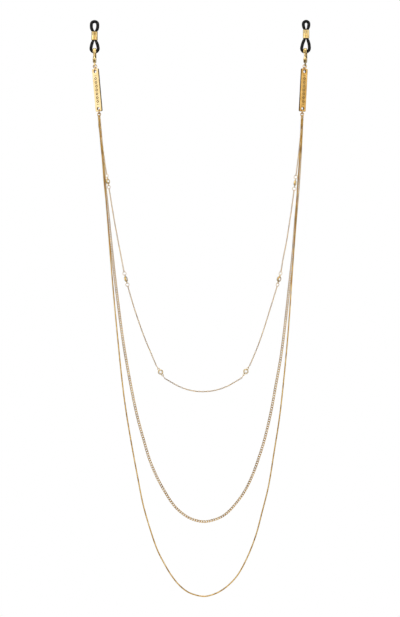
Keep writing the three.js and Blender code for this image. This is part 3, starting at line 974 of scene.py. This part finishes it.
def stone(k):
    """A round brilliant: table, crown and pavilion facets, cut as the hull of its corners."""
    rings = [(0.74, 0.5, 8, 0.5), (1.06, 0.36, 8, 0), (1.3, 0.1, 16, 0.5), (1.3, 0.02, 16, 0.5),
             (0.66, -0.4, 8, 0), (0.0, -0.62, 1, 0)]
    made = bmesh.new()
    for r, depth, count, shift in rings:
        for i in range(count):
            t = 2 * math.pi * (i + shift) / count
            made.verts.new((r * math.cos(t), r * math.sin(t), depth))
    bmesh.ops.convex_hull(made, input=made.verts)
    bmesh.ops.dissolve_limit(made, angle_limit=0.01, verts=made.verts, edges=made.edges)
    mesh = bpy.data.meshes.new(f"stone_{k + 1}")
    made.to_mesh(mesh)
    made.free()
    mesh.transform(Matrix.Scale(MM, 4) @ station_place(k) @ FACE_FRONT)
    obj = finish_piece(f"stone_{k + 1}", mesh, CRYSTAL, 0)
    return place(obj, f"station_{k + 1}", "crystal", f"station_{k + 1}_crystal")


def station_links(k):
    """The jump ring through each eyelet, square to it, which joins the stone to the chain."""
    parts = []
    for way in (1, -1):
        loop = [Vector((0, JUMP_R * math.cos(t), way * JUMP_AT + JUMP_R * math.sin(t)))
                for t in [2 * math.pi * i / 36 for i in range(36)]]
        parts.append(tube(loop, JUMP_WIRE, 8, True, up=Vector((1, 0, 0))))
    verts, faces = join(parts)
    verts = turned(verts, station_place(k))
    obj = piece(f"stone_{k + 1}_links", verts, faces, CHAIN_GOLD, 60)
    return place(obj, "short_chain", "gold")


# ---- stage and light ----
def stage():
    low = CAD_BOX[0]
    mesh = bpy.data.meshes.new("floor")
    cx, w, d, z = 67.5 * MM, 0.15, 0.09, low[2] - 0.04
    mesh.from_pydata([(cx - w, -d, z), (cx + w, -d, z), (cx + w, d, z), (cx - w, d, z)], [],
                     [(0, 1, 2, 3)])
    made, tree, shader, coords = material("pale_floor")
    tree.links.new(ramp(tree, noise(tree, coords, 30), [(0.3, (0.86, 0.86, 0.86)),
                                                       (0.7, (0.9, 0.9, 0.9))]),
                   shader.inputs["Base Color"])
    shader.inputs["Roughness"].default_value = 0.9
    finish_piece("floor", mesh, made, 0)


def soft_light(name, at, size, power):
    data = bpy.data.lights.new(name, "AREA")
    data.shape = "RECTANGLE"
    data.size, data.size_y = size
    data.energy = power
    obj = bpy.data.objects.new(name, data)
    obj.location = VIEW_CENTRE + Vector(at)
    obj.rotation_euler = (VIEW_CENTRE - obj.location).to_track_quat("-Z", "Y").to_euler()
    bpy.context.scene.collection.objects.link(obj)


# How bright the room is from left (0) to right (1), on the camera's side and on the far side.
PANELS_AHEAD = [
    (0.0, 1.35), (0.12, 1.3), (0.2, 0.2), (0.3, 1.05), (0.38, 0.12), (0.46, 1.2), (0.55, 1.2),
    (0.63, 0.12), (0.72, 1.05), (0.8, 0.25), (0.9, 1.15), (1.0, 1.1),
]
PANELS_BEHIND = [(0.0, 0.03), (0.3, 0.06), (0.5, 0.6), (0.7, 0.06), (1.0, 0.03)]


def studio():
    """White to the camera and through clear stones; the metal sees bright panels with dark
    gaps between them."""
    world = bpy.data.worlds.new("studio")
    world.use_nodes = True
    bpy.context.scene.world = world
    tree = world.node_tree
    tree.nodes.clear()
    out = tree.nodes.new("ShaderNodeOutputWorld")
    mix = tree.nodes.new("ShaderNodeMixShader")
    seen = tree.nodes.new("ShaderNodeBackground")
    seen.inputs["Color"].default_value = (1, 1, 1, 1)
    room = tree.nodes.new("ShaderNodeBackground")
    rays = tree.nodes.new("ShaderNodeLightPath")
    coords = tree.nodes.new("ShaderNodeTexCoord")
    split = tree.nodes.new("ShaderNodeSeparateXYZ")
    tree.links.new(coords.outputs["Generated"], split.inputs["Vector"])
    across = spread(tree, split.outputs["X"], 0, 1, -1, 1)
    ahead = ramp(tree, across, [(at, (v, v, v)) for at, v in PANELS_AHEAD])
    behind = ramp(tree, across, [(at, (v, v, v)) for at, v in PANELS_BEHIND])
    side = tree.nodes.new("ShaderNodeMix")
    side.data_type = "RGBA"
    tree.links.new(spread(tree, split.outputs["Y"], 0, 1, 0.0, 0.35), side.inputs["Factor"])
    tree.links.new(ahead, side.inputs["A"])
    tree.links.new(behind, side.inputs["B"])
    lift = tree.nodes.new("ShaderNodeVectorMath")
    lift.operation = "SCALE"
    tree.links.new(side.outputs["Result"], lift.inputs[0])
    tree.links.new(spread(tree, split.outputs["Z"], 0.55, 1.25, -0.9, 0.9), lift.inputs["Scale"])
    tree.links.new(lift.outputs["Vector"], room.inputs["Color"])
    room.inputs["Strength"].default_value = 1.0
    white = tree.nodes.new("ShaderNodeMath")
    white.operation = "MAXIMUM"
    tree.links.new(rays.outputs["Is Camera Ray"], white.inputs[0])
    tree.links.new(rays.outputs["Is Transmission Ray"], white.inputs[1])
    tree.links.new(white.outputs["Value"], mix.inputs["Fac"])
    tree.links.new(room.outputs["Background"], mix.inputs[1])
    tree.links.new(seen.outputs["Background"], mix.inputs[2])
    tree.links.new(mix.outputs["Shader"], out.inputs["Surface"])
    soft_light("key", (-0.5, -0.7, 0.5), (0.5, 0.5), 1.3)
    soft_light("fill", (0.7, -0.6, 0.1), (0.4, 0.7), 0.8)
    soft_light("top", (0, -0.1, 0.7), (0.6, 0.3), 0.8)
    bpy.context.scene.view_settings.view_transform = "Standard"


# ---- assembly ----
camera()
ends = {}
for s in (LEFT, RIGHT):
    side = s["side"]
    inner = LOWER_RING_R - LOWER_RING_WIRE - END_RING_WIRE - END_RING_PLAY
    for chain, layer, body, gap in (
        ("cable", -LAYER, "short_chain", 150), ("curb", 0, "middle_chain", 70),
        ("snake", LAYER, "long_chain", -70),
    ):
        top = CHAIN_HINGE - math.sqrt(inner ** 2 - layer ** 2)
        node = f"{side}_{chain}_end_ring"
        ends[side, chain] = split_ring(node + "_wire", END_RING_R, END_RING_WIRE,
                                       (s["chain_x"], layer, top - END_RING_R), 0, gap, body,
                                       [node])
    ends[side, "cap"] = end_cap(s)

stones = [[bezel(k), stone(k), station_links(k)] for k in range(len(STATIONS))]
for i in range(len(CABLE_ROUTES)):
    on_it = stones[i] if i < len(stones) else []
    if i == 0:
        on_it = on_it + [ends["left", "cable"]]
    if i == len(CABLE_ROUTES) - 1:
        on_it = [ends["right", "cable"]]
    cable_chain(i)
curb_chain()
snake_chain()

for s in (LEFT, RIGHT):
    side = s["side"]
    silicone_loop(s)
    collar(s)
    clasp_body(s)
    clasp_lever(s)
    clasp_rivet(s)
    clasp_spring(s)
    split_ring(side + "_clasp_jump_ring", RING_R, RING_WIRE,
               (s["ring_x"], 0, BAR_HINGE + RING_R), 0, 62, side + "_clasp", [side + "_clasp_ring"])
    mid_x = (s["ring_x"] + s["bar_top_x"]) / 2
    bar_ring_z = BAR_HINGE + 2 * RING_WIRE + RING_PLAY - RING_R
    split_ring(side + "_bar_jump_ring", RING_R, BAR_RING_WIRE, (mid_x, 0, bar_ring_z),
               90 + s["bar_turn"], 100, side + "_bar", [side + "_bar_ring"])
    bar(s)
    split_ring(side + "_lower_jump_ring", LOWER_RING_R, LOWER_RING_WIRE,
               (s["chain_x"], 0, CHAIN_HINGE), 90, 85, "middle_chain", [side + "_lower_ring"])

stage()
studio()

bpy.context.view_layer.update()
